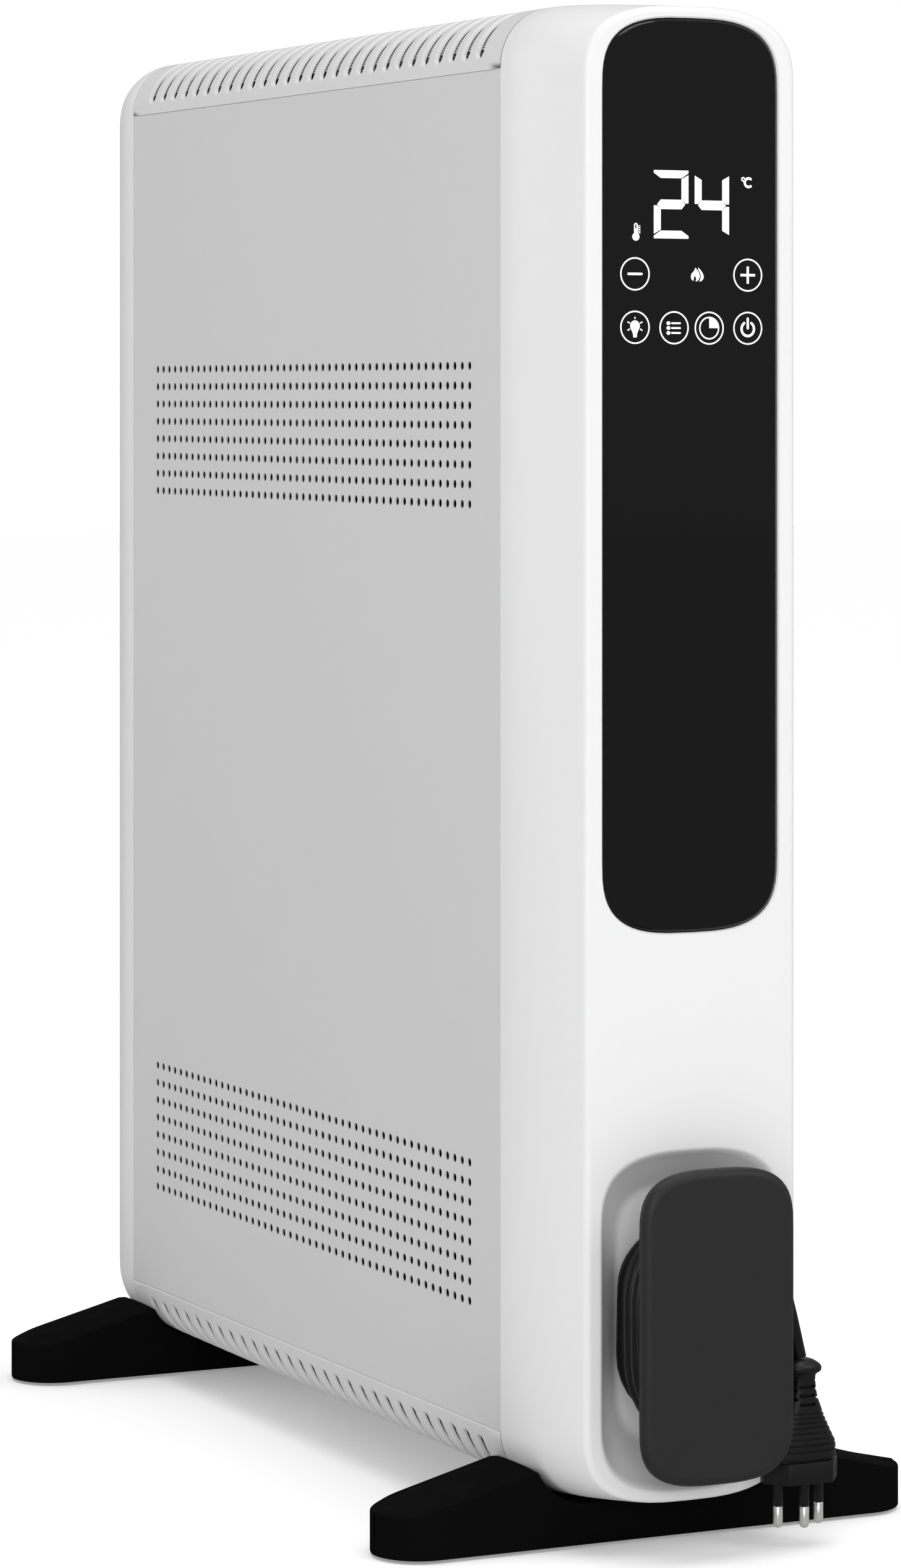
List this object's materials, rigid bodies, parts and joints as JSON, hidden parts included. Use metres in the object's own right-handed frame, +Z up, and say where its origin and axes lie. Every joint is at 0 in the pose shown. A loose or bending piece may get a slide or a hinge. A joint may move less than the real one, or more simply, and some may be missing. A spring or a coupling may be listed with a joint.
{
  "type": "oil filled radiator heater",
  "caption": "Slim cased oil filled electric heater on two cross feet, with a black touch glass and its mains lead wound on the front end.",
  "frame": {"origin": "on the floor, midway between the front of the cord cover plate and the rear end face, on the middle plane", "axes": "+Z up, the end with the glass and the cord bay faces -Y, +X to the right as seen from that end"},
  "size_m": [0.242, 0.5268, 0.631],
  "materials": {
    "case_paint": "satin white moulded plastic",
    "panel_paint": "satin white powder coat on steel",
    "grille_plastic": "satin white moulded plastic",
    "foot_plastic": "fine grained black",
    "glass_black": "polished, printed black behind",
    "cover_plastic": "fine grained black",
    "cord_rubber": "satin black sheath",
    "plug_plastic": "moulded black",
    "pin_nickel": "nickel plated",
    "pad_rubber": "matte",
    "screw_steel": "zinc plated",
    "zinc_sheet": "galvanised sheet",
    "column_paint": "matte black heat resistant paint",
    "terminal_brass": "plain",
    "inner_black": "moulded black",
    "inner_white": "moulded off-white",
    "board_green": "lacquered circuit board",
    "lead_blue": "insulated wire",
    "lead_brown": "insulated wire"
  },
  "bodies": {
    "heater": {"front_cap": "case_paint", "rear_cap": "case_paint", "left_side_panel": "panel_paint", "right_side_panel": "panel_paint", "top_grille": "grille_plastic", "bottom_grille": "grille_plastic", "front_bulkhead": "zinc_sheet", "rear_bulkhead": "zinc_sheet", "rear_cap_screw_low_left": "screw_steel", "rear_cap_screw_low_right": "screw_steel", "rear_cap_screw_high_left": "screw_steel", "rear_cap_screw_high_right": "screw_steel", "front_foot": "foot_plastic", "rear_foot": "foot_plastic", "foot_pad_front_left": "pad_rubber", "foot_pad_front_right": "pad_rubber", "foot_pad_rear_left": "pad_rubber", "foot_pad_rear_right": "pad_rubber", "foot_screw_front_left": "screw_steel", "foot_screw_front_right": "screw_steel", "foot_screw_rear_left": "screw_steel", "foot_screw_rear_right": "screw_steel", "front_foot_bracket": "zinc_sheet", "rear_foot_bracket": "zinc_sheet", "oil_column_1": "column_paint", "oil_column_2": "column_paint", "oil_column_3": "column_paint", "oil_column_4": "column_paint", "oil_column_5": "column_paint", "oil_column_6": "column_paint", "oil_column_7": "column_paint", "oil_column_8": "column_paint", "oil_column_9": "column_paint", "element_flange": "terminal_brass", "element_terminals": "inner_white", "element_lead_live": "lead_brown", "element_lead_neutral": "lead_blue", "oil_filler_plug": "screw_steel", "thermal_cutout": "inner_black", "control_glass": "glass_black", "glass_gasket": "pad_rubber", "display_module": "inner_white", "touch_board": "board_green", "power_board": "board_green", "power_relay": "inner_black", "room_sensor": "inner_black", "tilt_switch_housing": "inner_black", "cord_winder_hub": "cover_plastic", "cord_cover_plate": "cover_plastic", "cord_gland": "cord_rubber", "cord_lead": "cord_rubber", "cord_coil": "cord_rubber", "cord_tail": "cord_rubber", "plug_body": "plug_plastic", "plug_pin_live": "pin_nickel", "plug_pin_neutral": "pin_nickel", "plug_pin_earth": "pin_nickel"},
    "tilt_pendulum": {"tilt_switch_pendulum": "terminal_brass"}
  },
  "joints": [
    {"name": "tilt_pendulum_swing", "type": "hinge", "parent": "heater", "child": "tilt_pendulum", "pos_m": [0, -0.2122, 0.306], "axis": [0, 1, 0], "range_deg": [-38, 38]}
  ]
}
